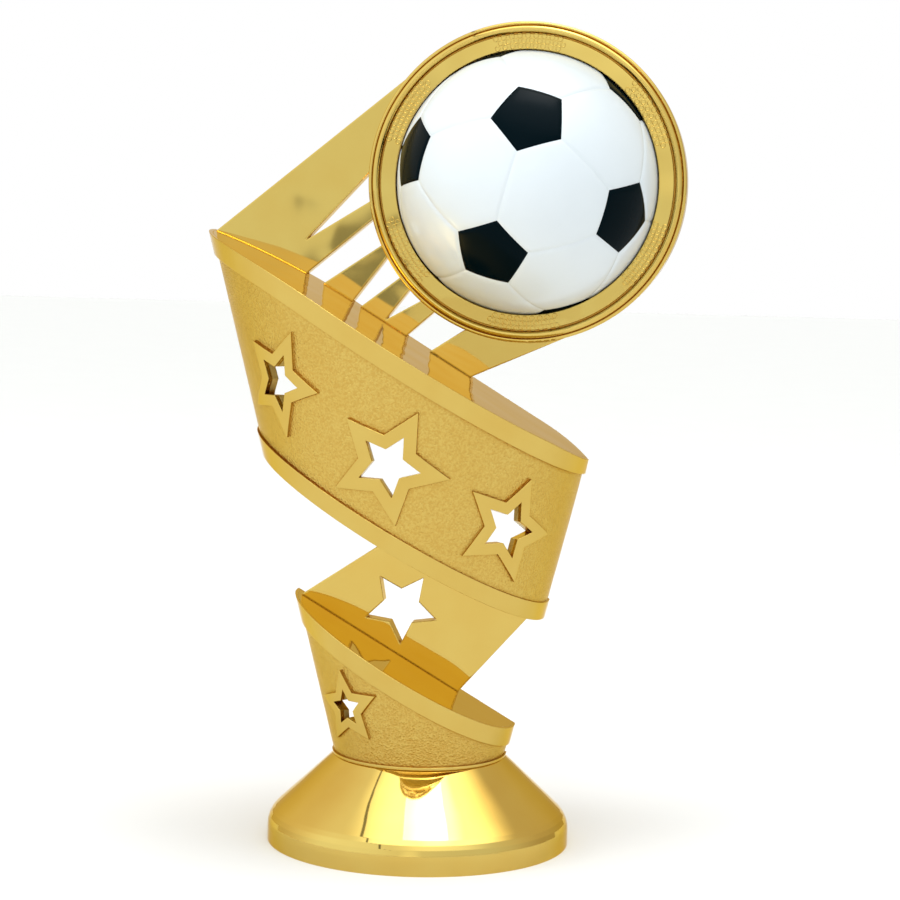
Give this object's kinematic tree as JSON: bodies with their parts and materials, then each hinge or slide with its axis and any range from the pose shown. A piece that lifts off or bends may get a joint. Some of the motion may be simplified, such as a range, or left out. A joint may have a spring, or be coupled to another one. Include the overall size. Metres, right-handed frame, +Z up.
{
  "type": "figure trophy",
  "caption": "Gilt trophy figure: a star ribbon climbs from a round foot to a ring of rays that holds a turning football on an axle.",
  "frame": {"origin": "centre of the captive nut's lower face, in the plane of the foot's rim, on the foot's axis", "axes": "+Z up along the rod's axis, +X to the right as seen from the front, -Y towards the front"},
  "size_m": [0.0922, 0.0675, 0.16],
  "materials": {
    "polished_gilt": "vacuum-metallised mirror gold over moulded polystyrene",
    "grained_gilt": "vacuum-metallised gold over a fine stippled moulding, lips polished",
    "zinc_steel": "bright zinc-plated steel",
    "ball_white": "glossy white moulding with glossy black five-sided panels"
  },
  "bodies": {
    "figure": {"foot": "polished_gilt", "rod_nut": "zinc_steel", "lower_band": "grained_gilt", "link_panel": "polished_gilt", "main_band": "grained_gilt", "ray_panel": "polished_gilt", "ring_front": "polished_gilt", "ring_rear": "polished_gilt", "ball_axle": "zinc_steel"},
    "ball": {"ball_front_shell": "ball_white", "ball_rear_shell": "ball_white"}
  },
  "joints": [
    {"name": "ball_spin", "type": "hinge", "parent": "figure", "child": "ball", "pos_m": [0.0188, 0, 0.1295], "axis": [0, 0, 1], "continuous": true}
  ]
}
